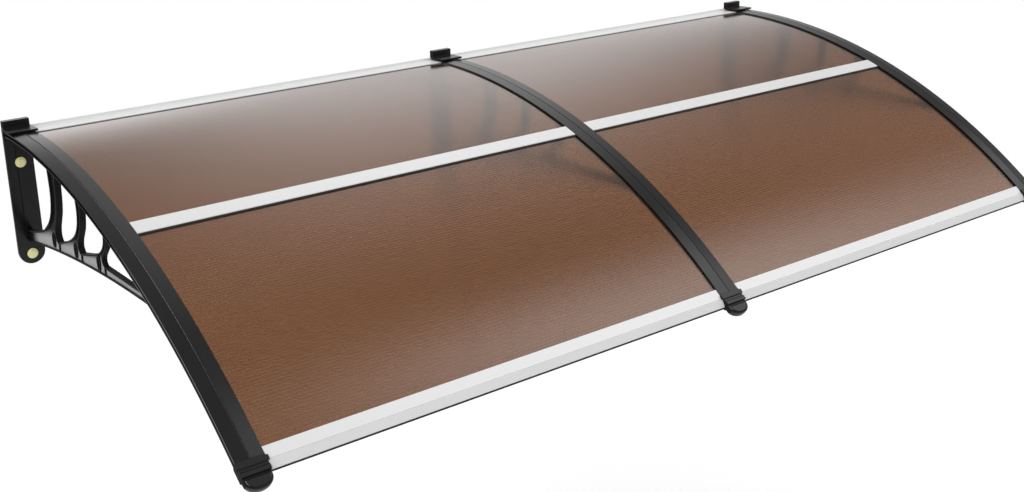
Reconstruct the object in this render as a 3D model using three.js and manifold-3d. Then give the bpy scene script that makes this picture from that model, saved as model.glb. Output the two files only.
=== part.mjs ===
// Door canopy: two bays of fluted polycarbonate sheet carried by three moulded wall brackets, with
// aluminium bars along the wall, across the middle and along the front edge.
// Millimetres. X runs along the wall, +Y points into the wall and Z is up, so the canopy reaches out in -Y.
// The origin is on the wall, midway between the two bolts of the middle bracket.

import * as THREE from 'three';
import { mergeVertices } from 'three/addons/utils/BufferGeometryUtils.js';
import Module from 'manifold-3d';

// Layout: distance between brackets, and the arch that the top of the sheets follows
const bayPitch = 975;
const archRadius = 1410;
const archCrownOut = 84;
const archCrownUp = 156;

// Clearances: sheet in a slot, piece seated on its neighbour, bar end to bracket, sheet edge to its stop
const slotGap = 0.3;
const seatGap = 0.3;
const barEndGap = 0.4;
const sheetEndGap = 4;

// Fluted sheet
const sheetThickness = 4.5;
const sheetSkin = 0.7;
const flutePitch = 6;
const fluteRib = 0.7;
const sheetFacet = 32;

// Bracket arm: a slotted strip bent along the arch, with two roof-like faces and a groove between them
const armWidth = 47;
const armWeb = 8;
const armTopEdge = 3.2;
const armTopRise = 1.2;
const armBottom = 2.6;
const armGrooveWidth = 1.6;
const armGrooveDepth = 0.7;
const armFacets = 26;

// Wall plate and its bolts
const plateOverhang = 1.5;
const plateWidth = armWidth + 2 * plateOverhang;
const plateThickness = 8;
const plateTail = 21;
const plateTailSides = 16;
const boltSpacing = 186;

// Openwork under the arm: strut along the bottom, and ribs that bow out towards the front. The openings' rims get
// narrower from the wall to the tip
const openworkWeb = 4;
const openworkRimWidths = [13, 12, 11, 9];
const openworkRimWall = 3;
const wallRibProud = 2.5;
const strutFootUp = -67;
const strutTipOut = 706;
const strutBow = 16;
const strutDepth = 22;
const strutTipDepth = 16;
const strutTipBack = 42;
const strutFlange = 3.5;
const strutFlangeWidth = 9;
const tipGusset = 26;
const ribBelly = [188, 322, 441];
const ribWidth = [29, 14, 9];
const crossRibThickness = 4;
const pocketWidth = 11;
const pocketHeight = 25;
const pocketRimWall = 2.5;
const pocketBack = 49;
const curveSteps = 12;
const archSag = 8;

// Rear cover at the wall
const coverBlockWidth = plateWidth;
const coverBlockDepth = 13;
const coverBlockHeight = 18;
const coverFootOverhang = 2;
const coverFootWidth = coverBlockWidth + 2 * coverFootOverhang;
const coverFootOut = 55;
const coverFootThickness = 4.5;
const coverWall = 2.5;

// Aluminium bars, each given by how far from the wall its rear edge is, and their seals
const barWall = 1.8;
const barCrown = 1.4;
const rearBarOut = 1;
const rearBarWidth = 45;
const rearBarGrip = 20;
const rearBarUpstand = 5;
const middleBarOut = 489.4;
const middleBarWidth = 34;
const frontBarOut = 925.7;
const frontBarTopWidth = 21;
const frontBarGroove = 1.6;
const frontBarNose = 13;
const frontBarNoseDrop = 6;
const frontBarDepth = 13;
const frontBarGrip = 12;
const rearSealWidth = 2;
const rearSealHeight = 1.2;
const sealWidth = 4;
const sealHeight = 2.2;
const frontSealHeight = 6.5;

// Front cap: collar between the bars with two raised bands, of which the first laps over the bars' ends,
// then a sunk neck, and the round nose in front of the bars
const capBandRise = 2;
const capBandSlope = 0.8;
const capFirstBandAt = 3;
const capFirstBandLength = 8;
const capSecondBandAt = 18;
const capLap = 2.5;
const capNeck = 2.5;
const capNeckDepth = 2.5;
const capUnderDrop = 3.5;
const capNoseInset = 0.5;
const capNoseWidth = armWidth - 2 * capNoseInset;
const capNoseLength = 17;
const capNoseLap = 1;
const capEdge = 5;
const capEdgeSteps = 4;
const capNoseSteps = 10;

// Wall bolt with washer, sleeve and cone nut, and the screw of the front cap
const boltDiameter = 8;
const boltHeadAcross = 13;
const boltHeadHeight = 5.5;
const washerDiameter = 20.5;
const washerThickness = 2;
const washerClearance = 1.5;
const sleeveWall = 1.5;
const sleeveLength = 48;
const coneLength = 11;
const coneTipWall = 0.9;
const screwDiameter = 3.5;
const screwLength = 9;
const screwHeadDiameter = 7;
const screwHeadHeight = 2.5;
const roundSides = 10;
const washerSides = 18;

// Finishes
const blackPlastic = { color: 0x1c1c1d, roughness: 0.45, metalness: 0 };
const brownSheet = { color: 0x7d5a42, roughness: 0.2, metalness: 0 };
const satinAluminium = { color: 0xe4e5e6, roughness: 0.35, metalness: 1 };
const blackRubber = { color: 0x141414, roughness: 0.8, metalness: 0 };
const yellowZinc = { color: 0xd9cf8e, roughness: 0.35, metalness: 1 };

const wasm = await Module();
wasm.setup();

function solidOf(geometry) {
  const bare = geometry.clone();
  bare.deleteAttribute('normal');
  bare.deleteAttribute('uv');
  const welded = mergeVertices(bare);
  return new wasm.Manifold(new wasm.Mesh({
    numProp: 3,
    vertProperties: new Float32Array(welded.attributes.position.array),
    triVerts: new Uint32Array(welded.index.array),
  }));
}

function geometryOf(solid) {
  const mesh = solid.getMesh();
  const geometry = new THREE.BufferGeometry();
  geometry.setAttribute('position', new THREE.BufferAttribute(mesh.vertProperties, 3));
  geometry.setIndex(new THREE.BufferAttribute(mesh.triVerts, 1));
  geometry.computeVertexNormals();
  return geometry;
}

function joined(solids) {
  return solids.reduce((whole, next) => whole.add(next));
}

// The side view is drawn with x as the distance out from the wall and y as the height
const sideViewAxes = new THREE.Matrix4().makeBasis(
  new THREE.Vector3(0, -1, 0),
  new THREE.Vector3(0, 0, 1),
  new THREE.Vector3(-1, 0, 0),
);

function sideViewSolid(shape, width) {
  const geometry = new THREE.ExtrudeGeometry(shape, { depth: width, bevelEnabled: false });
  geometry.translate(0, 0, -width / 2);
  geometry.applyMatrix4(sideViewAxes);
  return solidOf(geometry);
}

// A point of the side view, from its distance along the sheet's top and its height above it
const archCentreUp = archCrownUp - archRadius;

function onArch(along, above) {
  const angle = along / archRadius;
  const radius = archRadius + above;
  return new THREE.Vector2(archCrownOut + radius * Math.sin(angle), archCentreUp + radius * Math.cos(angle));
}

function alongAtOut(out, above) {
  return archRadius * Math.asin((out - archCrownOut) / (archRadius + above));
}

function archShape(points) {
  return new THREE.Shape(points.map(([along, above]) => onArch(along, above)));
}

// Heights above the sheet's top where the slot and the arm end
const slotTop = slotGap;
const slotFloor = -sheetThickness - slotGap;
const armUnder = slotFloor - armBottom;
const armTop = slotTop + armTopEdge + armTopRise;

// The arm ends with the front sheet, at the stop inside the front bar
const frontBarStart = alongAtOut(frontBarOut, 0);
const frontBarStopAt = frontBarStart + frontBarGrip;
const armFrontAt = frontBarStopAt;

class ArchLine extends THREE.Curve {
  constructor(from, to) {
    super();
    this.from = from;
    this.to = to;
  }

  getPoint(t) {
    const point = onArch(THREE.MathUtils.lerp(this.from, this.to, t), 0);
    return new THREE.Vector3(0, -point.x, point.y);
  }
}

function bracketArm() {
  const half = armWidth / 2;
  const web = armWeb / 2;
  const groove = armGrooveWidth / 2;
  const section = [
    [-half, armUnder], [half, armUnder], [half, slotFloor], [web, slotFloor],
    [web, slotTop], [half, slotTop], [half, slotTop + armTopEdge], [groove, armTop],
    [0, armTop - armGrooveDepth], [-groove, armTop], [-half, slotTop + armTopEdge], [-half, slotTop],
    [-web, slotTop], [-web, slotFloor], [-half, slotFloor],
  ];
  const shape = new THREE.Shape(section.map(([across, above]) => new THREE.Vector2(-across, -above)));
  const extrudePath = new ArchLine(alongAtOut(plateThickness / 2, 0), armFrontAt);
  return solidOf(new THREE.ExtrudeGeometry(shape, { steps: armFacets, extrudePath, bevelEnabled: false }));
}

// Wall plate, up to the arm's edge, with its lower end round, and a hole and a flat seat for each bolt
const plateTopUp = onArch(alongAtOut(plateThickness, 0), slotTop + armTopEdge).y;
const sleeveDiameter = boltDiameter + 2 * slotGap + 2 * sleeveWall;
const boltHoleDiameter = sleeveDiameter + 2 * slotGap;

function alongY(radius, from, to, sides) {
  const geometry = new THREE.CylinderGeometry(radius, radius, to - from, sides);
  geometry.translate(0, (from + to) / 2, 0);
  return geometry;
}

function wallPlate() {
  const half = plateWidth / 2;
  const roundUp = -boltSpacing / 2 - plateTail + half;
  const outline = new THREE.Shape();
  outline.moveTo(half, plateTopUp);
  outline.lineTo(-half, plateTopUp);
  outline.lineTo(-half, roundUp);
  outline.absarc(0, roundUp, half, Math.PI, 2 * Math.PI, false);
  const geometry = new THREE.ExtrudeGeometry(outline, {
    depth: plateThickness,
    bevelEnabled: false,
    curveSegments: plateTailSides,
  });
  geometry.rotateX(Math.PI / 2);
  return solidOf(geometry);
}

function boltHoles() {
  return joined([-1, 1].map((side) => {
    const hole = alongY(boltHoleDiameter / 2, -2 * plateThickness, plateThickness, roundSides);
    const seatRadius = washerDiameter / 2 + washerClearance;
    const seat = alongY(seatRadius, -2 * plateThickness, -plateThickness, washerSides);
    hole.translate(0, 0, side * boltSpacing / 2);
    seat.translate(0, 0, side * boltSpacing / 2);
    return solidOf(hole).add(solidOf(seat));
  }));
}

// Heights of the openwork at a distance out: arm above, strut below, and what lies between them
function armUnderUp(out) {
  const radius = archRadius + armUnder;
  return archCentreUp + Math.sqrt(radius ** 2 - (out - archCrownOut) ** 2);
}

function strutShare(out) {
  return (out - plateThickness) / (strutTipOut - plateThickness);
}

function strutLowUp(out) {
  const t = strutShare(out);
  return THREE.MathUtils.lerp(strutFootUp, armUnderUp(strutTipOut), t) + 4 * strutBow * t * (1 - t);
}

function strutDepthAt(out) {
  return THREE.MathUtils.lerp(strutDepth, strutTipDepth, strutShare(out));
}

function openworkPoint(out, share) {
  const low = strutLowUp(out) + strutDepthAt(out);
  return new THREE.Vector2(out, THREE.MathUtils.lerp(low, armUnderUp(out), share));
}

// A rib's two faces, as steps back from its belly and shares of the height, from the arm down to the strut
const ribWallFace = [[-6, 1], [0, 0.65], [-5, 0.43], [-20, 0.26], [-46, 0.14], [-84, 0.055]];
const ribFrontFace = [[8, 1], [2, 0.75], [0, 0.57], [-7, 0.37], [-23, 0.19], [-27, 0.07], [-20, 0]];

function facePoints(face, out) {
  return face.map(([step, share]) => openworkPoint(out + step, share));
}

function ribFront(rib) {
  const points = facePoints(ribFrontFace, ribBelly[rib] + ribWidth[rib]);
  return new THREE.SplineCurve(points).getPoints(curveSteps);
}

// The face towards the wall flares out along the strut, to the foot of the rib behind it
function ribFlare(rib, foot) {
  const points = [...facePoints(ribWallFace, ribBelly[rib]), foot];
  return new THREE.SplineCurve(points).getPoints(curveSteps).slice(0, -1).reverse();
}

// An opening is drawn up into the arm, so that its straight top edge stays clear of the bent arm's underside
function insideArm(point) {
  return new THREE.Vector2(point.x, armUnderUp(point.x) + archSag);
}

// Openings from the rib on the wall plate to the tip, each an outline drawn counter-clockwise in the side view
const wallRibOut = plateThickness + wallRibProud;
const tipOut = strutTipOut - strutTipBack;

function openings() {
  const last = ribBelly.length;
  const outlines = [];
  for (let i = 0; i <= last; i += 1) {
    const back = i === 0
      ? [openworkPoint(wallRibOut, 1), openworkPoint(wallRibOut, 0)]
      : ribFront(i - 1);
    const front = i === last
      ? [openworkPoint(tipOut, 0), openworkPoint(tipOut, 1)]
      : ribFlare(i, back.at(-1));
    outlines.push([...back, ...front, insideArm(front.at(-1)), insideArm(back[0])]);
  }
  return outlines;
}

function pocket(rib) {
  const centre = openworkPoint(ribBelly[rib] + ribWidth[rib] - pocketBack, 0);
  const outline = new THREE.EllipseCurve(centre.x, centre.y, pocketWidth / 2, pocketHeight / 2);
  return outline.getPoints(roundSides).slice(0, -1);
}

// An outline grown outwards by a wall, along the mean direction of its two edges at each point
function grown(outline, wall) {
  return outline.map((point, i) => {
    const before = outline.at(i - 1);
    const after = outline[(i + 1) % outline.length];
    const edge = after.clone().sub(before).normalize();
    return new THREE.Vector2(point.x + wall * edge.y, point.y - wall * edge.x);
  });
}

function strutStrip(depth) {
  const low = [];
  const high = [];
  for (let i = 0; i <= 2 * curveSteps; i += 1) {
    const out = THREE.MathUtils.lerp(plateThickness / 2, strutTipOut, i / (2 * curveSteps));
    low.push(new THREE.Vector2(out, strutLowUp(out)));
    high.unshift(new THREE.Vector2(out, strutLowUp(out) + depth));
  }
  return new THREE.Shape([...low, ...high]);
}

// All that lies between strut and arm, before it is cut open, with a gusset in front of the strut's tip
function openworkField() {
  const outline = [];
  for (let i = 0; i <= 2 * curveSteps; i += 1) {
    const out = THREE.MathUtils.lerp(plateThickness / 2, strutTipOut - tipGusset, i / (2 * curveSteps));
    outline.push(new THREE.Vector2(out, strutLowUp(out)));
  }
  const from = alongAtOut(strutTipOut + tipGusset, armUnder);
  const to = alongAtOut(plateThickness / 2, armUnder);
  for (let i = 0; i <= armFacets; i += 1) {
    outline.push(onArch(THREE.MathUtils.lerp(from, to, i / armFacets), armUnder + armBottom / 2));
  }
  return new THREE.Shape(outline);
}

function openwork() {
  const holes = openings();
  const pockets = ribBelly.map((_, rib) => pocket(rib));
  const field = openworkField();
  const rim = (hole, wall, width) => sideViewSolid(new THREE.Shape(grown(hole, wall)), width);
  const rims = joined([
    ...holes.map((hole, i) => rim(hole, openworkRimWall, openworkRimWidths[i])),
    ...pockets.map((hole) => rim(hole, pocketRimWall, strutFlangeWidth)),
  ]).intersect(sideViewSolid(field, armWidth));
  const crossRibs = ribBelly.map((belly, rib) => {
    const top = openworkPoint(belly + ribWidth[rib] + ribFrontFace.at(-1)[0], 0);
    const depth = strutDepthAt(top.x);
    const post = new THREE.BoxGeometry(strutFlangeWidth, crossRibThickness, depth - strutFlange / 2);
    post.translate(0, -top.x, top.y - depth / 2 + strutFlange / 4);
    return solidOf(post);
  });
  const flange = sideViewSolid(strutStrip(strutFlange), strutFlangeWidth);
  const body = joined([sideViewSolid(field, openworkWeb), rims, flange, ...crossRibs]);
  const cuts = [...holes, ...pockets].map((hole) => sideViewSolid(new THREE.Shape(hole), armWidth));
  return body.subtract(joined(cuts));
}

function bracketGeometry() {
  return geometryOf(joined([wallPlate(), bracketArm(), openwork()]).subtract(boltHoles()));
}

// Rear cover: a block on top of the wall plate, open to the wall, and a foot along the arm
function coverGeometry() {
  const footUnder = armTop + seatGap;
  const base = onArch(alongAtOut(coverBlockDepth, 0), footUnder).y;
  const block = new THREE.BoxGeometry(coverBlockWidth, coverBlockDepth, coverBlockHeight);
  block.translate(0, -coverBlockDepth / 2, base + coverBlockHeight / 2);
  const insideWidth = coverBlockWidth - 2 * coverWall;
  const inside = new THREE.BoxGeometry(insideWidth, coverBlockDepth, coverBlockHeight - 2 * coverWall);
  inside.translate(0, coverWall - coverBlockDepth / 2, base + coverBlockHeight / 2);
  const footFrom = alongAtOut(coverBlockDepth / 2, 0);
  const footEnd = alongAtOut(coverFootOut, 0);
  const foot = archShape([
    [footFrom, footUnder], [footEnd, footUnder],
    [footEnd, footUnder + coverFootThickness], [footFrom, footUnder + coverFootThickness],
  ]);
  return geometryOf(joined([solidOf(block).subtract(solidOf(inside)), sideViewSolid(foot, coverFootWidth)]));
}

// Sheets: skins and ribs of the fluted section, between two stops along the arch
function sheetGeometry(from, to, width) {
  const facets = Math.max(1, Math.round((to - from) / sheetFacet));
  const top = [];
  const bottom = [];
  for (let i = 0; i <= facets; i += 1) {
    const along = THREE.MathUtils.lerp(from, to, i / facets);
    top.unshift(onArch(along, 0));
    bottom.push(onArch(along, -sheetThickness));
  }
  const shape = new THREE.Shape([...bottom, ...top]);
  const flutes = Math.floor((to - from - fluteRib) / flutePitch);
  const first = (from + to - flutes * flutePitch) / 2;
  for (let i = 0; i < flutes; i += 1) {
    const start = first + i * flutePitch + fluteRib / 2;
    const end = start + flutePitch - fluteRib;
    const floor = sheetSkin - sheetThickness;
    const corners = [[start, -sheetSkin], [end, -sheetSkin], [end, floor], [start, floor]];
    shape.holes.push(new THREE.Path(corners.map(([along, above]) => onArch(along, above))));
  }
  return geometryOf(sideViewSolid(shape, width));
}

// Bars: each section is drawn along and above the sheet
const barTop = slotTop + barWall;
const barFloor = slotFloor - barWall;
const rearBarStart = alongAtOut(rearBarOut, 0);
const rearBarEnd = rearBarStart + rearBarWidth;
const rearBarWebAt = rearBarEnd - rearBarGrip;
const middleBarStart = alongAtOut(middleBarOut, 0);
const middleBarEnd = middleBarStart + middleBarWidth;
const middleBarWebAt = (middleBarStart + middleBarEnd) / 2;
const frontBarNoseAt = frontBarStart + frontBarTopWidth + frontBarGroove;
const frontBarEnd = frontBarNoseAt + frontBarNose;

function rearBarSection() {
  return archShape([
    [rearBarStart, slotTop], [rearBarWebAt, slotTop], [rearBarWebAt, barFloor], [rearBarEnd, barFloor],
    [rearBarEnd, slotFloor], [rearBarWebAt + barWall, slotFloor], [rearBarWebAt + barWall, slotTop],
    [rearBarEnd, slotTop], [rearBarEnd, barTop], [rearBarStart + barWall, barTop],
    [rearBarStart + barWall, barTop + rearBarUpstand], [rearBarStart, barTop + rearBarUpstand],
  ]);
}

function middleBarSection() {
  const webBack = middleBarWebAt - barWall / 2;
  const webFront = middleBarWebAt + barWall / 2;
  return archShape([
    [middleBarStart, barFloor], [middleBarEnd, barFloor], [middleBarEnd, slotFloor], [webFront, slotFloor],
    [webFront, slotTop], [middleBarEnd, slotTop], [middleBarEnd, barTop],
    [middleBarEnd - barCrown, barTop + barCrown],
    [middleBarStart + barCrown, barTop + barCrown], [middleBarStart, barTop], [middleBarStart, slotTop],
    [webBack, slotTop], [webBack, slotFloor], [middleBarStart, slotFloor],
  ]);
}

function frontBarSection() {
  const floor = barTop - frontBarDepth - barWall;
  const noseLow = barTop - frontBarNoseDrop;
  const shape = archShape([
    [frontBarStart, barFloor], [frontBarStopAt, barFloor], [frontBarStopAt, floor],
    [frontBarEnd - barWall, floor],
    [frontBarEnd - barWall, noseLow - barWall], [frontBarEnd, noseLow - barWall], [frontBarEnd, noseLow],
    [frontBarNoseAt, barTop], [frontBarNoseAt, barTop - frontBarGroove],
    [frontBarNoseAt - frontBarGroove, barTop - frontBarGroove], [frontBarNoseAt - frontBarGroove, barTop],
    [frontBarStart, barTop], [frontBarStart, slotTop], [frontBarStopAt, slotTop], [frontBarStopAt, slotFloor],
    [frontBarStart, slotFloor],
  ]);
  const hollow = [
    [frontBarStopAt + barWall, floor + barWall], [frontBarEnd - 2 * barWall, floor + barWall],
    [frontBarEnd - 2 * barWall, noseLow - 2 * barWall], [frontBarNoseAt, slotTop - frontBarGroove],
    [frontBarStopAt + barWall, slotTop - frontBarGroove],
  ];
  shape.holes.push(new THREE.Path(hollow.map(([along, above]) => onArch(along, above))));
  return shape;
}

// Seals lie on the sheet against the lower edge of a bar, or hang under the front bar's nose
function sealSection(barEnd, width, height) {
  const from = barEnd + seatGap;
  return archShape([
    [from, slotTop], [from + width, slotTop], [from + width, slotTop + height / 2], [from, slotTop + height],
  ]);
}

function frontSealSection() {
  const top = barTop - frontBarNoseDrop - barWall - seatGap;
  const from = frontBarEnd - barWall + seatGap;
  return archShape([
    [from, top - frontSealHeight], [from + sealWidth / 2, top - frontSealHeight],
    [from + sealWidth, top], [from, top],
  ]);
}

// Front cap, drawn flat in the arm's end and then turned into its slope
const capProfileAxes = new THREE.Matrix4().makeBasis(
  new THREE.Vector3(0, 1, 0),
  new THREE.Vector3(0, 0, 1),
  new THREE.Vector3(1, 0, 0),
);
const capStart = armFrontAt + seatGap;
const capCollarLength = frontBarEnd + sealWidth - capStart;
const capUnder = armUnder - capUnderDrop;
const capBandTop = armTop + capBandRise;

function capCollar() {
  const firstEnd = capFirstBandAt + capFirstBandLength;
  const secondEnd = capCollarLength - capNeck;
  const profile = [
    [0, armUnder], [capFirstBandAt, capUnder], [capCollarLength, capUnder],
    [capCollarLength, armTop - capNeckDepth], [secondEnd, armTop - capNeckDepth],
    [secondEnd, capBandTop - capBandSlope], [secondEnd - capBandSlope, capBandTop],
    [capSecondBandAt, capBandTop], [capSecondBandAt - capBandRise, armTop],
    [firstEnd + capBandRise, armTop], [firstEnd, capBandTop], [capFirstBandAt + capBandSlope, capBandTop],
    [capFirstBandAt, capBandTop - capBandSlope], [capFirstBandAt, armTop], [0, armTop],
  ];
  const shape = new THREE.Shape(profile.map(([along, above]) => new THREE.Vector2(along, above)));
  const geometry = new THREE.ExtrudeGeometry(shape, { depth: armWidth, bevelEnabled: false });
  geometry.translate(0, 0, -armWidth / 2);
  geometry.applyMatrix4(capProfileAxes);
  const lapUnder = barTop + seatGap;
  const lap = new THREE.BoxGeometry(armWidth + 2 * capLap, capFirstBandLength, capBandTop - lapUnder);
  lap.translate(0, capFirstBandAt + capFirstBandLength / 2, (capBandTop + lapUnder) / 2);
  return solidOf(geometry).add(solidOf(lap));
}

function capNose(from) {
  const half = capNoseWidth / 2 - capEdge;
  const outline = new THREE.Shape();
  outline.moveTo(-half, from);
  outline.lineTo(half, from);
  outline.absellipse(0, from, half, capNoseLength - capEdge, 0, Math.PI, false);
  const geometry = new THREE.ExtrudeGeometry(outline, {
    depth: armTop - capUnder - 2 * capEdge,
    bevelThickness: capEdge,
    bevelSize: capEdge,
    bevelSegments: capEdgeSteps,
    curveSegments: capNoseSteps,
  });
  geometry.translate(0, 0, capUnder + capEdge);
  return solidOf(geometry);
}

function capGeometry() {
  const nose = capNose(capCollarLength + capEdge - capNoseLap);
  const holeRadius = screwDiameter / 2 + slotGap;
  const hole = new THREE.CylinderGeometry(holeRadius, holeRadius, screwLength, roundSides);
  hole.rotateX(Math.PI / 2);
  hole.translate(0, capCollarLength / 2, capUnder - seatGap + screwLength / 2);
  return geometryOf(capCollar().add(nose).subtract(solidOf(hole)));
}

function screwGeometry() {
  const head = screwHeadDiameter / 2;
  const shank = screwDiameter / 2;
  const profile = [
    [0, -screwHeadHeight], [head * 0.7, -screwHeadHeight], [head, -screwHeadHeight * 0.4], [head, 0],
    [shank, 0], [shank, screwLength - screwDiameter], [0, screwLength - screwDiameter / 2],
  ];
  const geometry = new THREE.LatheGeometry(profile.map(([r, h]) => new THREE.Vector2(r, h)), roundSides);
  geometry.rotateX(Math.PI / 2);
  return geometryOf(solidOf(geometry));
}

// Wall bolt and what sits on it, drawn along Y with the wall plane at 0
const washerFace = -plateThickness - seatGap;
const headFace = washerFace - washerThickness - seatGap;
const boltTipAt = sleeveLength - plateThickness + coneLength + boltDiameter / 2;
const boreDiameter = boltDiameter + 2 * slotGap;

function ringAlongY(outerFrom, outerTo, inner, from, to, sides) {
  const profile = [[inner, from], [outerFrom, from], [outerTo, to], [inner, to], [inner, from]];
  const points = profile.map(([radius, y]) => new THREE.Vector2(radius, y));
  return geometryOf(solidOf(new THREE.LatheGeometry(points, sides)));
}

function boltGeometry() {
  const acrossCorners = boltHeadAcross / Math.cos(Math.PI / 6);
  const head = alongY(acrossCorners / 2, headFace - boltHeadHeight, headFace, 6);
  const shank = alongY(boltDiameter / 2, headFace - boltHeadHeight / 2, boltTipAt, roundSides);
  return geometryOf(solidOf(head).add(solidOf(shank)));
}

const washerGeometry = () => ringAlongY(
  washerDiameter / 2, washerDiameter / 2, boreDiameter / 2,
  washerFace - washerThickness, washerFace, washerSides,
);
const sleeveEnd = sleeveLength - plateThickness;
const sleeveGeometry = () => ringAlongY(
  sleeveDiameter / 2, sleeveDiameter / 2, boreDiameter / 2, -plateThickness, sleeveEnd, roundSides,
);
const coneGeometry = () => ringAlongY(
  boreDiameter / 2 + coneTipWall, sleeveDiameter / 2, boreDiameter / 2,
  sleeveEnd + seatGap, sleeveEnd + coneLength, roundSides,
);

// The canopy put together
const canopy = new THREE.Group();

function place(parent, name, geometry, finish, x = 0, z = 0) {
  const mesh = new THREE.Mesh(geometry, new THREE.MeshStandardMaterial(finish));
  mesh.name = name;
  mesh.position.set(x, 0, z);
  parent.add(mesh);
  return mesh;
}

const capTurn = capStart / archRadius;
const capOrigin = onArch(capStart, 0);

function addBracket(name, x) {
  const group = new THREE.Group();
  group.position.x = x;
  canopy.add(group);
  place(group, `bracket_${name}`, bracketGeometry(), blackPlastic);
  place(group, `rear_cover_${name}`, coverGeometry(), blackPlastic);
  for (const [level, side] of [['upper', 1], ['lower', -1]]) {
    const up = side * boltSpacing / 2;
    place(group, `wall_bolt_${name}_${level}`, boltGeometry(), yellowZinc, 0, up);
    place(group, `wall_washer_${name}_${level}`, washerGeometry(), yellowZinc, 0, up);
    place(group, `anchor_sleeve_${name}_${level}`, sleeveGeometry(), yellowZinc, 0, up);
    place(group, `anchor_cone_${name}_${level}`, coneGeometry(), yellowZinc, 0, up);
  }
  const front = new THREE.Group();
  front.position.set(0, -capOrigin.x, capOrigin.y);
  front.rotation.set(capTurn, 0, Math.PI, 'XYZ');
  group.add(front);
  place(front, `front_cap_${name}`, capGeometry(), blackPlastic);
  const screw = place(front, `cap_screw_${name}`, screwGeometry(), yellowZinc);
  screw.position.set(0, capCollarLength / 2, capUnder - seatGap);
}

function addBay(name, x) {
  const group = new THREE.Group();
  group.position.x = x;
  canopy.add(group);
  const sheetWidth = bayPitch - armWeb - 2 * sheetEndGap;
  const barLength = bayPitch - armWidth - 2 * barEndGap;
  const rearFrom = rearBarWebAt + barWall + seatGap;
  const rearTo = middleBarWebAt - barWall / 2 - seatGap;
  const frontFrom = middleBarWebAt + barWall / 2 + seatGap;
  const frontTo = frontBarStopAt - seatGap;
  place(group, `rear_sheet_${name}`, sheetGeometry(rearFrom, rearTo, sheetWidth), brownSheet);
  place(group, `front_sheet_${name}`, sheetGeometry(frontFrom, frontTo, sheetWidth), brownSheet);
  const rearBarLength = bayPitch - plateWidth - 2 * barEndGap;
  const bars = [
    ['rear_bar', rearBarSection(), rearBarLength], ['middle_bar', middleBarSection(), barLength],
    ['front_bar', frontBarSection(), barLength],
  ];
  for (const [kind, section, length] of bars) {
    place(group, `${kind}_${name}`, geometryOf(sideViewSolid(section, length)), satinAluminium);
  }
  const seals = [
    ['rear_seal', sealSection(rearBarEnd, rearSealWidth, rearSealHeight)],
    ['middle_seal', sealSection(middleBarEnd, sealWidth, sealHeight)],
    ['front_seal', frontSealSection()],
  ];
  for (const [kind, section] of seals) {
    place(group, `${kind}_${name}`, geometryOf(sideViewSolid(section, barLength)), blackRubber);
  }
}

addBracket('left', -bayPitch);
addBracket('middle', 0);
addBracket('right', bayPitch);
addBay('left', -bayPitch / 2);
addBay('right', bayPitch / 2);

export default canopy;
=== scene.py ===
import math

import bmesh
import bpy
from mathutils import Matrix, Vector


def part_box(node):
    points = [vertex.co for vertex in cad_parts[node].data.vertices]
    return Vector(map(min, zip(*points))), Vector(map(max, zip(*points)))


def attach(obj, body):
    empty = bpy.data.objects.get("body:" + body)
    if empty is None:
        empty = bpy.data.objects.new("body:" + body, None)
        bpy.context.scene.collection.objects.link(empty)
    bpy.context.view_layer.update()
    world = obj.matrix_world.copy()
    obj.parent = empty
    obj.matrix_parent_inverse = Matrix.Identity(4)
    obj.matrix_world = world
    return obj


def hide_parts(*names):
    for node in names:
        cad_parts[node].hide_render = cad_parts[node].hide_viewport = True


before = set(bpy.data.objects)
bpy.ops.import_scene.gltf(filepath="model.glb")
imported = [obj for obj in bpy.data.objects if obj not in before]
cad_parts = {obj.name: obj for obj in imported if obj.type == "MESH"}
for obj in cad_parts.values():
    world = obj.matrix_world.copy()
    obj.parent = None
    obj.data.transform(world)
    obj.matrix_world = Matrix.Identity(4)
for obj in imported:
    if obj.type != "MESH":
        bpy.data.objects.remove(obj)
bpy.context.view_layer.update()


# Wall brackets: three like mouldings of black filled plastic, each with its wall plate, its bent arm with a slot
# along both sides for the sheets, and the openwork of strut and ribs. The strut's flat webs are a mottled light grey,
# with painted shade that turns them black up the ribs and close to the wall plate, and the rims are black. Painted
# highlights run along one wall of the arm's groove and along the arm's lower lips.
arch_radius = 1.410
arch_crown = Vector((0.0, -0.084, 0.156))
plate_out = 0.013
bracket_edge = 0.0007
web_half_thickness = 0.002
web_slack = 1.1
rim_half_width = 0.0065
groove_half_width = 0.001
lip_from = 0.021
lip_above = (-0.0078, -0.0045)
strut_foot = (0.008, -0.045)
strut_tip = (0.706, 0.019)
strut_bow = 0.016
# Painted shade on the webs: where the grey starts out from the wall plate, and how far and how raggedly it turns black
# above the strut
plate_shade_reach = (0.03, 0.075)
rib_shade_fade = 0.024
rib_shade_ragged = 0.006
# Painted highlight along the groove's wall that faces right: its greys at the wall, further out and at the front, and
# where it brightens
groove_highlight_greys = (0.006, 0.6, 0.12)
groove_reach = (0.09, 0.20)
# Painted highlight along the arm's lower lips, brightest at the wall and fading towards the front
lip_highlight_greys = (0.28, 0.05, 0.015)
lip_reach = (0.10, 0.80)
front_reach = (0.60, 0.90)
# How far a face is turned to look along the wall, from 0 to 1: on rounded edges, flat webs and the groove's walls
edge_turned = (0.3, 0.85)
web_turned = 0.9
groove_turned = 0.2
# Where vertices are one, facets flat, edges sharp enough to be rounded, and edges still shaded as smooth
weld_within = 1e-6
flat_within = math.radians(0.6)
sharp_beyond = math.radians(36)
smooth_within = math.radians(48)


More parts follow.
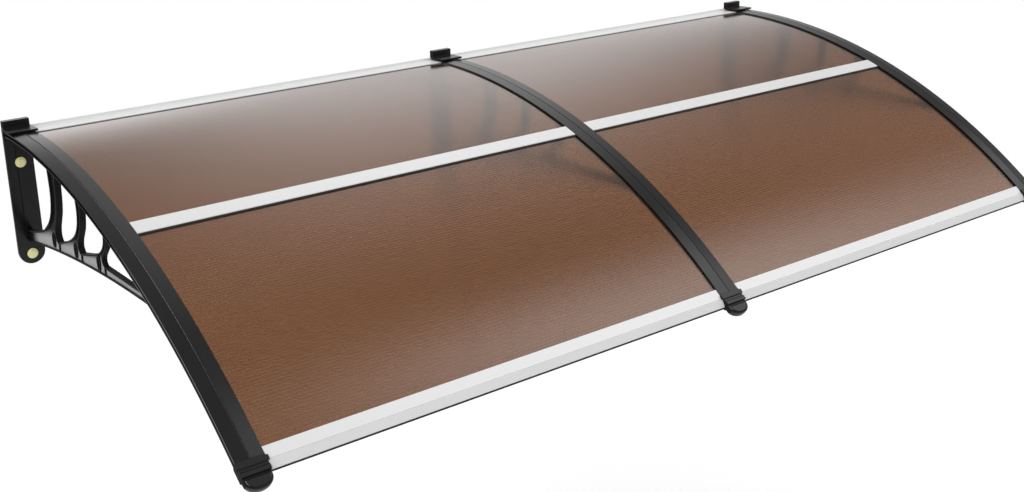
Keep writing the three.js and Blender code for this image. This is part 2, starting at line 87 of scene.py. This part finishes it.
class Socket:
    """A shader socket. Sums, differences, products and shares of sockets and numbers add their own Math nodes."""

    def __init__(self, tree, source=None):
        self.tree = tree
        self.source = source

    def node(self, kind, inputs=None, output=0, **settings):
        """One node of a kind: its settings first, then the values or links of its inputs, by name or number."""
        made = self.tree.nodes.new(kind)
        for name, value in settings.items():
            setattr(made, name, value)
        for key, value in (inputs or {}).items():
            named = [i for i in made.inputs if i.enabled and i.name == key]
            into = named[0] if named else made.inputs[key]
            if isinstance(value, Socket):
                self.tree.links.new(value.source, into)
            else:
                into.default_value = value
        outputs = [o for o in made.outputs if o.enabled]
        found = [o for o in outputs if o.name == output] or outputs[:1]
        return Socket(self.tree, found[0] if found else None)

    def maths(self, operation, first, second=0.0):
        return self.node("ShaderNodeMath", {0: first, 1: second}, operation=operation)

    def __add__(self, other):
        return self.maths("ADD", self, other)

    def __sub__(self, other):
        return self.maths("SUBTRACT", self, other)

    def __rsub__(self, other):
        return self.maths("SUBTRACT", other, self)

    def __mul__(self, other):
        return self.maths("MULTIPLY", self, other)

    def __truediv__(self, other):
        return self.maths("DIVIDE", self, other)

    def __rtruediv__(self, other):
        return self.maths("DIVIDE", other, self)

    __radd__ = __add__
    __rmul__ = __mul__

    def axes(self):
        """The three numbers of a vector."""
        split = self.node("ShaderNodeSeparateXYZ", {"Vector": self})
        return [Socket(self.tree, part) for part in split.source.node.outputs]

    def ramp(self, low, high):
        """Goes smoothly from 0 at the low value to 1 at the high one."""
        limits = {"Value": self, "From Min": low, "From Max": high}
        return self.node("ShaderNodeMapRange", limits, interpolation_type="SMOOTHSTEP")

    def blend(self, first, second):
        """Goes from the first colour to the second as this value goes from 0 to 1."""
        return self.node("ShaderNodeMix", {"Factor": self, "A": first, "B": second}, data_type="RGBA")


def grey(level):
    return (level, level, level, 1.0)


def new_finish(name):
    """An empty material, with the place on the piece in metres as its first socket."""
    material = bpy.data.materials.new(name)
    material.use_nodes = True
    material.node_tree.nodes.clear()
    place = Socket(material.node_tree).node("ShaderNodeTexCoord", output="Object")
    return material, place


def surface(place, inputs):
    """Closes a material with its one shader."""
    shader = place.node("ShaderNodeBsdfPrincipled", inputs)
    place.node("ShaderNodeOutputMaterial", {"Surface": shader})


def cloud(place, size, detail=2.0):
    """Soft noise from 0 to 1, with spots of about that size."""
    return place.node("ShaderNodeTexNoise", {"Vector": place, "Scale": 1 / size, "Detail": detail})


def relief(place, height, depth):
    """The surface's normal with a relief that deep."""
    return place.node("ShaderNodeBump", {"Height": height, "Distance": depth, "Strength": 1.0})


def moulded_plastic():
    """Glossy, from a polished mould, with the fine grain of its filler."""
    material, place = new_finish("black_moulded_plastic")
    flow = cloud(place, size=0.06)
    grain = cloud(place, size=0.0011, detail=3.0)
    surface(place, {
        "Base Color": flow.blend(grey(0.005), grey(0.009)),
        "Roughness": 0.16 + 0.06 * flow + 0.06 * grain,
        "Normal": relief(place, grain, depth=0.00004),
    })
    return material


def grey_web_with_painted_shade():
    """Grey and mottled along the strut, with painted shade that turns it black further up the ribs and by the wall
    plate.
    """
    material, place = new_finish("grey_web_painted_shade")
    _, y, z = place.axes()
    out = -1 * y
    share = (out - strut_foot[0]) / (strut_tip[0] - strut_foot[0])
    straight_top = strut_foot[1] + (strut_tip[1] - strut_foot[1]) * share
    strut_top = straight_top + 4 * strut_bow * share * (1 - share)
    mottle = cloud(place, size=0.0045, detail=4.0)
    # Painted shade, rising from the strut's top up the ribs
    rib_shade = (z - strut_top + rib_shade_ragged * mottle).ramp(0.0, rib_shade_fade)
    # Where the webs stay grey, clear of the painted shade by the wall plate and up the ribs
    unshaded_share = (1 - rib_shade) * out.ramp(*plate_shade_reach)
    greyed = mottle.blend(grey(0.30), grey(0.52))
    surface(place, {
        "Base Color": unshaded_share.blend(grey(0.008), greyed),
        "Roughness": 0.45 + 0.2 * mottle,
        "Specular IOR Level": 0.15,
        "Normal": relief(place, mottle, depth=0.0001),
    })
    return material


def matt_side():
    """The faces that look along the wall, spark eroded in the mould."""
    material, place = new_finish("black_matt_side")
    grain = cloud(place, size=0.0006, detail=3.0)
    surface(place, {
        "Base Color": grain.blend(grey(0.006), grey(0.012)),
        "Roughness": 0.55 + 0.15 * grain,
        "Specular IOR Level": 0.15,
        "Normal": relief(place, grain, depth=0.00006),
    })
    return material


def painted_edge_highlight(name, shades, reach):
    """A painted highlight along an edge of the arm, in greys at the wall, further out and at the front."""
    material, place = new_finish(name)
    _, y, _ = place.axes()
    out = -1 * y
    at_wall, further_out, at_front = [grey(shade) for shade in shades]
    flow = cloud(place, size=0.02)
    outer = out.ramp(*front_reach).blend(further_out, at_front)
    surface(place, {
        "Base Color": out.ramp(*reach).blend(at_wall, outer),
        "Roughness": 0.25 + 0.1 * flow,
    })
    return material


def above_arch(point):
    """How far a point lies above the sheets' top."""
    return math.hypot(point.y - arch_crown.y, point.z - arch_crown.z + arch_radius) - arch_radius


def bracket_finish(face):
    """Which finish a face has, from where it lies and how it is turned. The groove's wall that faces right and the
    arm's lower lips carry a painted highlight.
    """
    off_middle = abs(face.center.x)
    sideways = abs(face.normal.x)
    tilted, turned_aside = edge_turned
    on_lip = off_middle > lip_from and lip_above[0] < above_arch(face.center) < lip_above[1]
    in_groove = off_middle < groove_half_width and face.normal.z > tilted
    in_openwork = off_middle < rim_half_width + bracket_edge and face.center.y < -plate_out
    # The lower lips' side faces get the painted highlight
    if on_lip and sideways > tilted:
        return "lip"
    # The groove's wall that faces right gets the painted highlight, the other one the matt black
    if in_groove and sideways > groove_turned:
        return "groove" if face.normal.x > 0 else "matt"
    if off_middle < web_slack * web_half_thickness and sideways > web_turned:
        return "web"
    if in_openwork and not tilted < sideways < turned_aside:
        return "matt"
    return "moulded"


def rounded_solid(node, edge, name):
    """A node's solid as a mesh of its own, with flat facets merged and its sharp edges rounded."""
    form = bmesh.new()
    form.from_mesh(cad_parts[node].data)
    bmesh.ops.remove_doubles(form, verts=form.verts, dist=weld_within)
    bmesh.ops.dissolve_limit(form, angle_limit=flat_within, verts=form.verts, edges=form.edges)
    sharp = [e for e in form.edges if e.is_manifold and e.calc_face_angle() > sharp_beyond]
    bmesh.ops.bevel(
        form, geom=sharp, offset=edge, offset_type="OFFSET", segments=2, profile=0.5, affect="EDGES",
        clamp_overlap=True, material=-1,
    )
    return finished(form, name)


def finished(form, name):
    """Closes a mesh: normals outwards, and smooth shading apart from its sharp edges."""
    bmesh.ops.recalc_face_normals(form, faces=form.faces)
    for face in form.faces:
        face.smooth = True
    for edge in form.edges:
        edge.smooth = not edge.is_manifold or edge.calc_face_angle() < smooth_within
    mesh = bpy.data.meshes.new(name)
    form.to_mesh(mesh)
    form.free()
    return mesh


def fit_piece(name, mesh, node, x=0.0, z=0.0):
    """Puts a piece in its node's stead, on the canopy's one body."""
    piece = bpy.data.objects.new(name, mesh)
    piece.location = (x, 0.0, z)
    bpy.context.scene.collection.objects.link(piece)
    evened = piece.modifiers.new("evened_normals", "WEIGHTED_NORMAL")
    evened.keep_sharp = True
    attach(piece, "root")
    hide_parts(node)


def middle_x(node):
    low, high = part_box(node)
    return (low.x + high.x) / 2


sides = ("left", "middle", "right")
bracket_at = {side: middle_x("bracket_" + side) for side in sides}
bracket_mesh = rounded_solid("bracket_middle", bracket_edge, "moulded_bracket")
matt = matt_side()
bracket_finishes = {
    "moulded": moulded_plastic(),
    "web": grey_web_with_painted_shade(),
    "matt": matt,
    "groove": painted_edge_highlight("arm_groove_painted_highlight", groove_highlight_greys, groove_reach),
    "lip": painted_edge_highlight("arm_lip_painted_highlight", lip_highlight_greys, lip_reach),
}
for finish in bracket_finishes.values():
    bracket_mesh.materials.append(finish)
finish_order = list(bracket_finishes)
for face in bracket_mesh.polygons:
    face.material_index = finish_order.index(bracket_finish(face))
for side in sides:
    node = "bracket_" + side
    fit_piece("moulded_" + node, bracket_mesh, node, bracket_at[side])


# Wall anchors: two to a bracket, of yellow zinc plated steel. The bolt draws its cone nut into the slit sleeve, which
# spreads in the wall, and its hexagon head bears on a plain washer on the bracket's plate.
bolt_up = {"upper": 0.093, "lower": -0.093}
bore_radius = 0.0043
washer_radius = 0.01025
washer_faces = (-0.0103, -0.0083)
turned_edge = 0.0003
sleeve_radius = 0.0058
sleeve_ends = (-0.008, 0.040)
slits = 4
slit_from = 0.008
slit_columns = 2
cone_ends = (0.0403, 0.051)
cone_tip_wall = 0.0009
head_across = 0.013
head_ends = (-0.0161, -0.0106)
head_flat_share = 0.95
head_chamfer = math.radians(28)
shank_radius = 0.004
shank_end = 0.055
thread_from = 0.036
thread_pitch = 0.00125
thread_depth = 0.0007
thread_steps = 8
point_length = 0.0006
point_room = 0.001
round_sides = 48


def zinc_plate():
    """Yellow passivated zinc, a little tarnished."""
    material, place = new_finish("yellow_zinc_plate")
    tarnish = cloud(place, size=0.006, detail=3.0)
    scratch = cloud(place, size=0.0007)
    surface(place, {
        "Base Color": tarnish.blend((0.97, 0.94, 0.54, 1.0), (0.88, 0.84, 0.46, 1.0)),
        "Metallic": 0.15,
        "Roughness": 0.30 + 0.12 * tarnish + 0.06 * scratch,
        "Normal": relief(place, scratch, depth=0.00002),
    })
    return material


def add_rings(form, rings, closed=False):
    """Joins rings of points, each with as many points, by quads from one to the next."""
    loops = [[form.verts.new(point) for point in ring] for ring in rings]
    pairs = list(zip(loops, loops[1:]))
    if closed:
        pairs.append((loops[-1], loops[0]))
    for one, two in pairs:
        for i in range(len(one)):
            k = (i + 1) % len(one)
            form.faces.new((one[i], one[k], two[k], two[i]))
    return loops


def ring_at(radius, y):
    """A ring round the Y axis. The radius may be a function of the angle."""
    points = []
    for i in range(round_sides):
        angle = 2 * math.pi * i / round_sides
        r = radius(angle) if callable(radius) else radius
        points.append(Vector((r * math.cos(angle), y, r * math.sin(angle))))
    return points


def turned_ring(name, profile):
    """A turned ring: its profile of radius and place along Y, carried round the axis."""
    form = bmesh.new()
    add_rings(form, [ring_at(r, y) for r, y in profile], closed=True)
    return finished(form, name)


def hexagon_radius(angle):
    sector = math.pi / 3
    return head_across / 2 / math.cos((angle % sector) - sector / 2)


def bolt_mesh():
    """Hexagon head with its round chamfer on the outer face, plain shank, and a thread at the far end."""
    low, high = head_ends
    flat_radius = head_flat_share * head_across / 2
    corners = ring_at(hexagon_radius, low)
    for point in corners:
        point.y += (math.hypot(point.x, point.z) - flat_radius) * math.tan(head_chamfer)
    rings = [ring_at(flat_radius, low), corners, ring_at(hexagon_radius, high)]
    rings += [ring_at(shank_radius, high), ring_at(shank_radius, thread_from)]
    turns = int((shank_end - point_room - thread_from) / thread_pitch)
    for step in range(1, turns * thread_steps):
        turn = step / thread_steps

        def crest(angle):
            phase = (turn - angle / (2 * math.pi)) % 1
            return shank_radius - thread_depth * (1 - abs(2 * phase - 1)) * min(1.0, turn)

        rings.append(ring_at(crest, thread_from + turn * thread_pitch))
    rings.append(ring_at(shank_radius - thread_depth, shank_end - point_length))
    rings.append(ring_at(shank_radius / 2, shank_end))
    form = bmesh.new()
    loops = add_rings(form, rings)
    form.faces.new(loops[0])
    form.faces.new(loops[-1])
    return finished(form, "hexagon_bolt")


def slit_sleeve_mesh():
    """A tube with slits from its inner end, given its wall afterwards."""
    form = bmesh.new()
    add_rings(form, [ring_at(sleeve_radius, y) for y in (sleeve_ends[0], slit_from, sleeve_ends[1])])
    apart = round_sides // slits
    form.faces.ensure_lookup_table()
    gone = [form.faces[round_sides + k * apart + j] for k in range(slits) for j in range(slit_columns)]
    bmesh.ops.delete(form, geom=gone, context="FACES")
    bmesh.ops.recalc_face_normals(form, faces=form.faces)
    bmesh.ops.solidify(form, geom=form.faces[:], thickness=sleeve_radius - bore_radius)
    return finished(form, "slit_sleeve")


washer_profile = [
    (bore_radius, washer_faces[0]), (washer_radius - turned_edge, washer_faces[0]),
    (washer_radius, washer_faces[0] + turned_edge), (washer_radius, washer_faces[1] - turned_edge),
    (washer_radius - turned_edge, washer_faces[1]), (bore_radius, washer_faces[1]),
]
cone_profile = [
    (bore_radius, cone_ends[0]), (bore_radius + cone_tip_wall, cone_ends[0]),
    (sleeve_radius, cone_ends[1] - turned_edge), (sleeve_radius - turned_edge, cone_ends[1]),
    (bore_radius, cone_ends[1]),
]
zinc = zinc_plate()
anchor_meshes = {
    "wall_bolt": bolt_mesh(),
    "wall_washer": turned_ring("plain_washer", washer_profile),
    "anchor_sleeve": slit_sleeve_mesh(),
    "anchor_cone": turned_ring("cone_nut", cone_profile),
}
for kind, mesh in anchor_meshes.items():
    mesh.materials.append(zinc)
    for side in sides:
        for level, up in bolt_up.items():
            node = f"{kind}_{side}_{level}"
            fit_piece("zinc_" + node, mesh, node, bracket_at[side], up)


# Sheets: extruded twin-wall polycarbonate, tinted brown, with flutes that run along the wall. Each is bent cold into
# the arms' slots and held at its two long edges by the bars. The flutes show as fine lines through the top skin.
flute_pitch = 0.006
flute_rib = 0.0007
flute_fillet = 0.0004
flute_steps = 6
sheet_skin = 0.0007
skin_sag = 0.00003
rib_turned = 0.5
rib_shadow = (0.03, 0.3)
sheet_brown = (0.200, 0.080, 0.029, 1.0)
# Painted shade: the skin's brown over the ribs
rib_shadow_brown = (0.150, 0.060, 0.022, 1.0)
clear_brown = (0.595, 0.43, 0.31, 1.0)
pale_brown = (0.94, 0.92, 0.90, 1.0)
sheet_index = 1.2
bays = ("left", "right")


def arch_point(along, above):
    """A point of the side view from its distance along the sheet's top and its height above it."""
    angle = along / arch_radius
    radius = arch_radius + above
    y = arch_crown.y - radius * math.sin(angle)
    z = arch_crown.z - arch_radius + radius * math.cos(angle)
    return y, z


def arch_span(node):
    """Where a node starts and ends along the arch, and its lowest and highest place above it."""
    alongs = []
    aboves = []
    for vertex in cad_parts[node].data.vertices:
        out = arch_crown.y - vertex.co.y
        up = vertex.co.z - arch_crown.z + arch_radius
        alongs.append(arch_radius * math.atan2(out, up))
        aboves.append(math.hypot(out, up) - arch_radius)
    return min(alongs), max(alongs), min(aboves), max(aboves)


def first_rib(start, end):
    """Where the first of the ribs that fit between a sheet's two long edges stands, and how many flutes there are."""
    flutes = int((end - start - flute_rib) / flute_pitch)
    return (start + end - flutes * flute_pitch) / 2, flutes


def fluted_sheet(node, name):
    """The section of skins and ribs, with the flutes' corners filled a little, drawn out along the wall."""
    start, end, low, high = arch_span(node)
    first, flutes = first_rib(start, end)
    columns = [(start, 0.0, flute_fillet, True)]
    for i in range(flutes):
        rib_end = first + i * flute_pitch + flute_rib / 2
        rib_start = rib_end + flute_pitch - flute_rib
        for k in range(flute_steps + 1):
            share = k / flute_steps
            sag = skin_sag * 4 * share * (1 - share)
            fillet = flute_fillet * abs(2 * share - 1) ** 2
            columns.append((rib_end + share * (rib_start - rib_end), sag, fillet, k == flute_steps))
    columns.append((end, 0.0, flute_fillet, False))
    half = (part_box(node)[1].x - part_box(node)[0].x) / 2
    form = bmesh.new()
    drawn = []
    for along, sag, fillet, _ in columns:
        levels = (low + sag, low + sheet_skin + fillet, high - sheet_skin - fillet, high - sag)
        drawn.append([form.verts.new((-half, *arch_point(along, above))) for above in levels])
    for one, two, (_, _, _, solid) in zip(drawn, drawn[1:], columns):
        for level in (0, 1, 2):
            if level != 1 or solid:
                form.faces.new((one[level], one[level + 1], two[level + 1], two[level]))
    grown = bmesh.ops.extrude_face_region(form, geom=form.faces[:])
    moved = [g for g in grown["geom"] if isinstance(g, bmesh.types.BMVert)]
    bmesh.ops.translate(form, verts=moved, vec=(2 * half, 0.0, 0.0))
    return finished(form, name)


def brown_skin(row, first):
    """The tinted top skin, with a painted shade over each rib."""
    material, place = new_finish(f"brown_{row}_sheet_skin")
    _, y, z = place.axes()
    angle = place.maths("ARCTAN2", arch_crown.y - y, z - (arch_crown.z - arch_radius))
    off_rib = place.maths("PINGPONG", angle * (arch_radius / flute_pitch) - first / flute_pitch, 0.5)
    # Painted shade over each rib, where the rib below shows through the skin
    rib_shadow_share = 1 - off_rib.ramp(*rib_shadow)
    haze = cloud(place, size=0.09)
    surface(place, {
        "Base Color": rib_shadow_share.blend(sheet_brown, rib_shadow_brown),
        "Roughness": 0.12 + 0.06 * haze,
        "IOR": sheet_index,
        "Transmission Weight": 0.9,
        "Coat Weight": 1.0,
        "Coat Roughness": 0.1,
    })
    return material


def clear_polycarbonate(name, tint):
    """What the light meets below the top skin: the other skin faces, and the ribs, which hardly tint it."""
    material, place = new_finish(name)
    haze = cloud(place, size=0.03)
    surface(place, {
        "Base Color": tint,
        "Roughness": 0.06 + 0.05 * haze,
        "IOR": sheet_index,
        "Transmission Weight": 1.0,
    })
    return material


def sheet_finish(face, top):
    """0 for the top skin's upper face, 1 for the other skin faces and 2 for the ribs and edges."""
    outward = Vector((0.0, face.center.y - arch_crown.y, face.center.z - arch_crown.z + arch_radius))
    if abs(face.normal.dot(outward.normalized())) < rib_turned:
        return 2
    return 0 if above_arch(face.center) > top - sheet_skin / 3 else 1


lower_skin = clear_polycarbonate("clear_lower_skin", clear_brown)
clear_rib = clear_polycarbonate("clear_rib", pale_brown)
for row in ("rear", "front"):
    start, end, _, top = arch_span(f"{row}_sheet_left")
    sheet_mesh = fluted_sheet(f"{row}_sheet_left", f"fluted_{row}_sheet")
    for finish in (brown_skin(row, first_rib(start, end)[0]), lower_skin, clear_rib):
        sheet_mesh.materials.append(finish)
    for face in sheet_mesh.polygons:
        face.material_index = sheet_finish(face, top)
    for bay in bays:
        node = f"{row}_sheet_{bay}"
        fit_piece("fluted_" + node, sheet_mesh, node, middle_x(node))


# Bars: extruded aluminium, satin anodised, cut to length between the brackets. The rear one closes the sheets at the
# wall and stands up against it, the middle one joins rear and front sheet, and the front one stiffens the outer edge.
bar_edge = 0.0004
drawn_out = (0.02, 1.0, 1.0)


def satin_aluminium():
    """Pale satin metal with the fine lines of the die along it."""
    material, place = new_finish("satin_aluminium")
    along_bar = place.node("ShaderNodeMapping", {"Vector": place, "Scale": drawn_out})
    die_lines = cloud(along_bar, size=0.0009, detail=3.0)
    patches = cloud(place, size=0.08)
    surface(place, {
        "Base Color": patches.blend(grey(0.87), grey(0.91)),
        "Metallic": 0.25,
        "Roughness": 0.34 + 0.1 * die_lines + 0.05 * patches,
        "Normal": relief(place, die_lines, depth=0.00001),
    })
    return material


aluminium = satin_aluminium()
for row in ("rear", "middle", "front"):
    for bay in bays:
        node = f"{row}_bar_{bay}"
        bar_mesh = rounded_solid(node, bar_edge, "aluminium_" + node)
        bar_mesh.materials.append(aluminium)
        fit_piece("aluminium_" + node, bar_mesh, node)


# Seals: rubber lips pushed in along the lower edge of each bar, where they shed the water. They are black, apart from
# the thin one at the wall, which is grey.
seal_edge = 0.0003
seal_greys = {"rear": (0.30, 0.40), "middle": (0.010, 0.020), "front": (0.010, 0.020)}


def seal_rubber(row):
    """Matt rubber with a little dust on it."""
    material, place = new_finish(f"{row}_seal_rubber")
    dust = cloud(place, size=0.015, detail=3.0)
    grain = cloud(place, size=0.0008)
    clean, dusty = seal_greys[row]
    surface(place, {
        "Base Color": dust.blend(grey(clean), grey(dusty)),
        "Roughness": 0.6 + 0.15 * grain,
        "Normal": relief(place, grain, depth=0.00003),
    })
    return material


for row in seal_greys:
    rubber = seal_rubber(row)
    for bay in bays:
        node = f"{row}_seal_{bay}"
        seal_mesh = rounded_solid(node, seal_edge, "rubber_" + node)
        seal_mesh.materials.append(rubber)
        fit_piece("rubber_" + node, seal_mesh, node)


# Rear covers and front caps: black mouldings that close the arm's two ends. The cover is a hollow block at the wall
# on a foot that lies on the arm, and the cap a banded collar between the front bars with a round nose.
cover_edge = 0.0009
cap_edge = 0.0005
flank_turned = 0.85


def trim_plastic():
    """The brackets' plastic in smaller mouldings, a little darker."""
    material, place = new_finish("black_trim_plastic")
    flow = cloud(place, size=0.03)
    grain = cloud(place, size=0.0009, detail=3.0)
    surface(place, {
        "Base Color": flow.blend(grey(0.004), grey(0.008)),
        "Roughness": 0.2 + 0.1 * flow + 0.06 * grain,
        "Normal": relief(place, grain, depth=0.00003),
    })
    return material


trim = trim_plastic()
trim_meshes = {
    "rear_cover": rounded_solid("rear_cover_middle", cover_edge, "moulded_rear_cover"),
    "front_cap": rounded_solid("front_cap_middle", cap_edge, "moulded_front_cap"),
}
for kind, mesh in trim_meshes.items():
    mesh.materials.append(trim)
    mesh.materials.append(matt)
    for face in mesh.polygons:
        face.material_index = 1 if abs(face.normal.x) > flank_turned else 0
    for side in sides:
        node = f"{kind}_{side}"
        fit_piece("moulded_" + node, mesh, node, bracket_at[side])


# Cap screws: small pan heads of zinc plated steel, one under each front cap. They are driven up into the arm's front
# end and hold the cap there.
screw_edge = 0.0003
screw_mesh = rounded_solid("cap_screw_middle", screw_edge, "pan_head_screw")
screw_mesh.materials.append(zinc)
for side in sides:
    node = "cap_screw_" + side
    fit_piece("zinc_" + node, screw_mesh, node, bracket_at[side])


# Studio: a pale floor as far below the canopy as a doorstep, soft light from above and from the left, and white all
# round. Gloss meets a wide white screen on the wall's side, whose foot is brightest on the left and whose upper part
# in the middle, a soft box overhead in front, and a dimmer room between the two and on the left.
floor_up = -2.3
floor_reach = 5.5
floor_cells = 8
floor_glow = 0.26
soft_level = 0.62
# Each pair below that isn't of levels gives where a soft edge starts and ends, as a share of the way right, back or up
room_levels = (0.06, 0.3)
room_right = (-0.4, 0.1)
screen_feet = (1.65, 0.84)
screen_levels = (0.40, 1.22, 0.32)
screen_back = (0.05, 0.65)
screen_above = (-0.3, 0.05)
screen_foot_up = (0.1, 0.5)
screen_middle = (0.25, 0.5)
screen_end = (0.58, 0.80)
box_level = 4.3
box_front = (-0.4, -0.1)
box_back = (-0.35, 0.06)
box_up = (0.3, 0.6)
box_right = (0.29, 0.62)
box_end = (0.68, 0.83)
box_end_loss = 0.5
key_energy = 1.25
key_spread = math.radians(40)
key_way = Vector((0.55, 0.45, -0.85))


def floor_finish():
    """Pale, and seen only from above."""
    material, place = new_finish("pale_floor")
    patch = cloud(place, size=1.5)
    seen = place.node("ShaderNodeLightPath", output="Is Camera Ray")
    pale = place.node("ShaderNodeBsdfPrincipled", {
        "Base Color": patch.blend(grey(0.88), grey(0.90)),
        "Roughness": 0.9,
        "Specular IOR Level": 0.1,
        "Emission Color": seen.blend(grey(0.0), grey(floor_glow)),
        "Emission Strength": 1.0,
    })
    under = place.node("ShaderNodeNewGeometry", output="Backfacing")
    clear = place.node("ShaderNodeBsdfTransparent")
    one_sided = place.node("ShaderNodeMixShader", {0: under, 1: pale, 2: clear})
    place.node("ShaderNodeOutputMaterial", {"Surface": one_sided})
    return material


floor_form = bmesh.new()
bmesh.ops.create_grid(floor_form, x_segments=floor_cells, y_segments=floor_cells, size=floor_reach)
bmesh.ops.translate(floor_form, verts=floor_form.verts, vec=(0.0, 0.0, floor_up))
floor_mesh = bpy.data.meshes.new("floor")
floor_form.to_mesh(floor_mesh)
floor_form.free()
floor_mesh.materials.append(floor_finish())
floor = bpy.data.objects.new("floor", floor_mesh)
bpy.context.scene.collection.objects.link(floor)

sky = bpy.data.worlds.new("white_studio")
sky.use_nodes = True
sky.node_tree.nodes.clear()
way = Socket(sky.node_tree).node("ShaderNodeTexCoord", output="Generated")
right, back, up = way.axes()
camera_ray, glossy_ray, through_ray = [
    way.node("ShaderNodeLightPath", output=f"Is {ray} Ray") for ray in ("Camera", "Glossy", "Transmission")
]
room = right.ramp(*room_right).blend(*[grey(level) for level in room_levels])
on_screen = back.ramp(*screen_back) * up.ramp(*screen_above)
left_level, middle_level, right_level = [grey(level) for level in screen_levels]
foot = right.ramp(*screen_middle).blend(*[grey(level) for level in screen_feet])
screen = right.ramp(*screen_middle).blend(left_level, middle_level)
screen = right.ramp(*screen_end).blend(screen, right_level)
screen = up.ramp(*screen_foot_up).blend(foot, screen)
on_box = back.ramp(*box_front) * (1 - back.ramp(*box_back)) * up.ramp(*box_up)
on_box = on_box * right.ramp(*box_right) * (1 - box_end_loss * right.ramp(*box_end))
gloss = on_box.blend(on_screen.blend(room, screen), grey(box_level))
plain_white = 1 - (1 - camera_ray) * (1 - through_ray)
shade = plain_white.blend(glossy_ray.blend(grey(soft_level), gloss), grey(1.0))
background = way.node("ShaderNodeBackground", {"Color": shade, "Strength": 1.0})
way.node("ShaderNodeOutputWorld", {"Surface": background})
bpy.context.scene.world = sky

key = bpy.data.lights.new("soft_key", "SUN")
key.energy = key_energy
key.angle = key_spread
key_lamp = bpy.data.objects.new("soft_key", key)
key_lamp.rotation_euler = key_way.to_track_quat("-Z", "Y").to_euler()
bpy.context.scene.collection.objects.link(key_lamp)


# Camera: stands left of the canopy and a little above it, and looks down on its front edge. Its lens, place and turn
# are fitted to the edges of the sheets, bars and arms, with a small shift for the picture's frame.
frame_width = 1024
focal_pixels = 1289.55
rise_pixels = -60
camera_place = Vector((-1.65644, -2.45538, 0.80343))
camera_yaw = 0.6501
camera_pitch = -0.3151
camera_roll = 0.0109
camera = bpy.data.cameras.new("camera")
camera.sensor_fit = "HORIZONTAL"
camera.sensor_width = 36.0
camera.lens = camera.sensor_width * focal_pixels / frame_width
camera.shift_y = rise_pixels / frame_width
camera_turn = (
    Matrix.Rotation(-camera_yaw, 4, "Z")
    @ Matrix.Rotation(math.pi / 2 + camera_pitch, 4, "X")
    @ Matrix.Rotation(-camera_roll, 4, "Z")
)
viewer = bpy.data.objects.new("camera", camera)
viewer.matrix_world = Matrix.Translation(camera_place) @ camera_turn
bpy.context.scene.collection.objects.link(viewer)
bpy.context.scene.camera = viewer
bpy.context.scene.view_settings.view_transform = "Standard"
